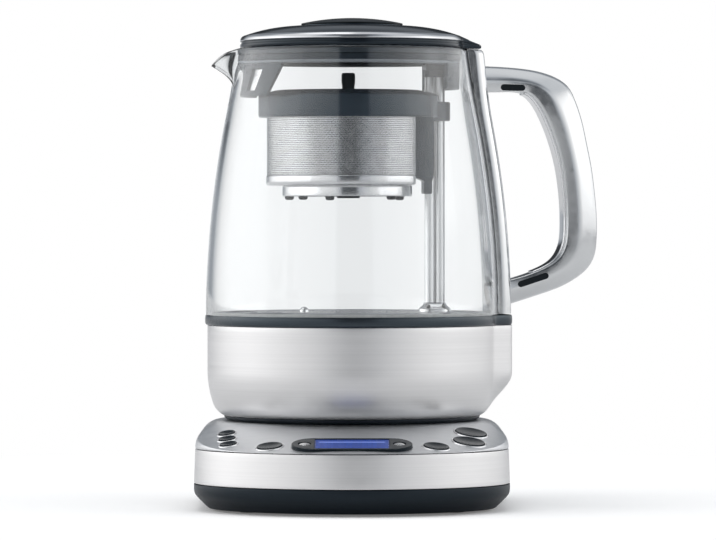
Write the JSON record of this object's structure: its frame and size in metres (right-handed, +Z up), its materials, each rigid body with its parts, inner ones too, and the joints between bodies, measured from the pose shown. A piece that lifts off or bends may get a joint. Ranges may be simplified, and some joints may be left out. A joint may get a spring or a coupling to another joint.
{
  "type": "automatic tea maker",
  "caption": "glass and steel kettle jug with a domed lid and a motor-lowered perforated tea basket, on a low power base with a sloped control panel",
  "frame": {"origin": "on the table under the jug's upright axis, level with the undersides of the rubber feet", "axes": "+Z up, +X to the user's right with the control panel facing them, +Y away from the control panel"},
  "size_m": [0.2171, 0.214, 0.2617],
  "materials": {
    "brushed_steel": "vertical brushed grain",
    "polished_metal": "bright satin polish",
    "black_plastic": "near-black, soft gloss",
    "slate_plastic": "dark slate, glossy",
    "smoked_plastic": "smoked translucent grey",
    "soft_black": "soft matt black",
    "clear_glass": "clear",
    "blue_display": "lit blue window",
    "circuit": "solder-masked board",
    "white_plastic": "plain moulded",
    "silicone": "translucent silicone",
    "brass_metal": "plain",
    "steel": "plain steel",
    "magnet_metal": "nickel plated"
  },
  "bodies": {
    "base": {"base_tray": "black_plastic", "rubber_feet": "soft_black", "tray_screws": "steel", "base_band": "brushed_steel", "base_cover": "brushed_steel", "display_bezel": "slate_plastic", "display_lens": "blue_display", "display_module": "circuit", "button_collars": "polished_metal", "control_board": "circuit", "tact_switches": "black_plastic", "power_board": "circuit", "buzzer": "black_plastic", "cord_gland": "soft_black", "base_plug": "black_plastic", "plug_contacts": "brass_metal"},
    "socket": {"jug_socket": "black_plastic"},
    "jug": {"jug_foot": "black_plastic", "jug_foot_screws": "steel", "jug_shell": "brushed_steel", "jug_collar": "black_plastic", "jug_floor": "brushed_steel", "heating_element": "steel", "glass_seal": "silicone", "temperature_probe": "steel", "glass_jug": "clear_glass", "lift_motor": "steel", "drive_tube": "polished_metal", "guide_rod": "polished_metal", "post_foot": "slate_plastic", "post_cap": "slate_plastic", "handle_spine": "polished_metal", "handle": "polished_metal", "handle_insert": "polished_metal"},
    "pinion": {"motor_pinion": "white_plastic"},
    "screw": {"lead_screw": "steel", "screw_gear": "white_plastic"},
    "nut": {"magnet_nut": "magnet_metal"},
    "lid": {"lid_shell": "slate_plastic", "lid_knob": "soft_black", "lid_skirt": "smoked_plastic", "lid_seal": "silicone", "lid_plate": "smoked_plastic", "spout_filter_frame": "smoked_plastic", "spout_filter_mesh": "steel"},
    "basket": {"basket_ring": "slate_plastic", "follower_magnet": "magnet_metal", "basket_cup": "brushed_steel", "basket_disc": "brushed_steel"},
    "basket_cover": {"basket_lid": "slate_plastic", "basket_lid_knob": "soft_black"},
    "clock_key": {"clock_button": "slate_plastic"},
    "auto_start_key": {"auto_start_button": "slate_plastic"},
    "keep_warm_key": {"keep_warm_button": "slate_plastic"},
    "tea_strength_key": {"tea_strength_button": "slate_plastic"},
    "tea_type_key": {"tea_type_button": "slate_plastic"},
    "hot_water_key": {"hot_water_button": "slate_plastic"},
    "tea_start_key": {"tea_start_button": "slate_plastic"},
    "minus_key": {"minus_button": "polished_metal"},
    "plus_key": {"plus_button": "polished_metal"}
  },
  "joints": [
    {"name": "jug_lift", "type": "slide", "parent": "base", "child": "socket", "axis": [0, 0, 1], "range_m": [0, 0.15]},
    {"name": "jug_swivel", "type": "hinge", "parent": "socket", "child": "jug", "pos_m": [0, 0, 0.05], "axis": [0, 0, 1], "continuous": true},
    {"name": "lid_lift", "type": "slide", "parent": "jug", "child": "lid", "axis": [0, 0, 1], "range_m": [0, 0.08]},
    {"name": "basket_lift", "type": "slide", "parent": "jug", "child": "basket", "axis": [0, 0, 1], "range_m": [-0.058, 0]},
    {"name": "basket_lid_lift", "type": "slide", "parent": "basket", "child": "basket_cover", "axis": [0, 0, 1], "range_m": [0, 0.012]},
    {"name": "nut_travel", "type": "slide", "parent": "jug", "child": "nut", "axis": [0, 0, 1], "range_m": [-0.0585, 0.0005]},
    {"name": "screw_spin", "type": "hinge", "parent": "jug", "child": "screw", "pos_m": [0.04209, 0.00592, 0.09], "axis": [0, 0, 1], "range_deg": [-2700, 60]},
    {"name": "pinion_spin", "type": "hinge", "parent": "jug", "child": "pinion", "pos_m": [0.02822, 0.00397, 0.09], "axis": [0, 0, 1], "range_deg": [-60, 2700]},
    {"name": "clock_press", "type": "slide", "parent": "base", "child": "clock_key", "axis": [0.1472, 0.2056, -0.9675], "range_m": [0, 0.0008], "stiffness_N_per_m": 500, "springref_m": -0.0004},
    {"name": "auto_start_press", "type": "slide", "parent": "base", "child": "auto_start_key", "axis": [0.1463, 0.2057, -0.9676], "range_m": [0, 0.0008], "stiffness_N_per_m": 500, "springref_m": -0.0004},
    {"name": "keep_warm_press", "type": "slide", "parent": "base", "child": "keep_warm_key", "axis": [0.1441, 0.2057, -0.9679], "range_m": [0, 0.0008], "stiffness_N_per_m": 500, "springref_m": -0.0004},
    {"name": "tea_strength_press", "type": "slide", "parent": "base", "child": "tea_strength_key", "axis": [0.0953, 0.207, -0.9737], "range_m": [0, 0.0008], "stiffness_N_per_m": 500, "springref_m": -0.0004},
    {"name": "tea_type_press", "type": "slide", "parent": "base", "child": "tea_type_key", "axis": [-0.0975, 0.2069, -0.9735], "range_m": [0, 0.0008], "stiffness_N_per_m": 500, "springref_m": -0.0004},
    {"name": "hot_water_press", "type": "slide", "parent": "base", "child": "hot_water_key", "axis": [-0.1398, 0.2059, -0.9685], "range_m": [0, 0.0008], "stiffness_N_per_m": 500, "springref_m": -0.0004},
    {"name": "tea_start_press", "type": "slide", "parent": "base", "child": "tea_start_key", "axis": [-0.1365, 0.206, -0.969], "range_m": [0, 0.0008], "stiffness_N_per_m": 500, "springref_m": -0.0004},
    {"name": "minus_press", "type": "slide", "parent": "base", "child": "minus_key", "axis": [0.055, 0.2076, -0.9767], "range_m": [0, 0.0008], "stiffness_N_per_m": 500, "springref_m": -0.0004},
    {"name": "plus_press", "type": "slide", "parent": "base", "child": "plus_key", "axis": [-0.055, 0.2076, -0.9767], "range_m": [0, 0.0008], "stiffness_N_per_m": 500, "springref_m": -0.0004}
  ],
  "couplings": [
    {"joint": "nut_travel", "follows": "basket_lift", "ratio": 1},
    {"joint": "screw_spin", "follows": "basket_lift", "rad_per_m": 785.4},
    {"joint": "pinion_spin", "follows": "basket_lift", "rad_per_m": -785.4}
  ]
}
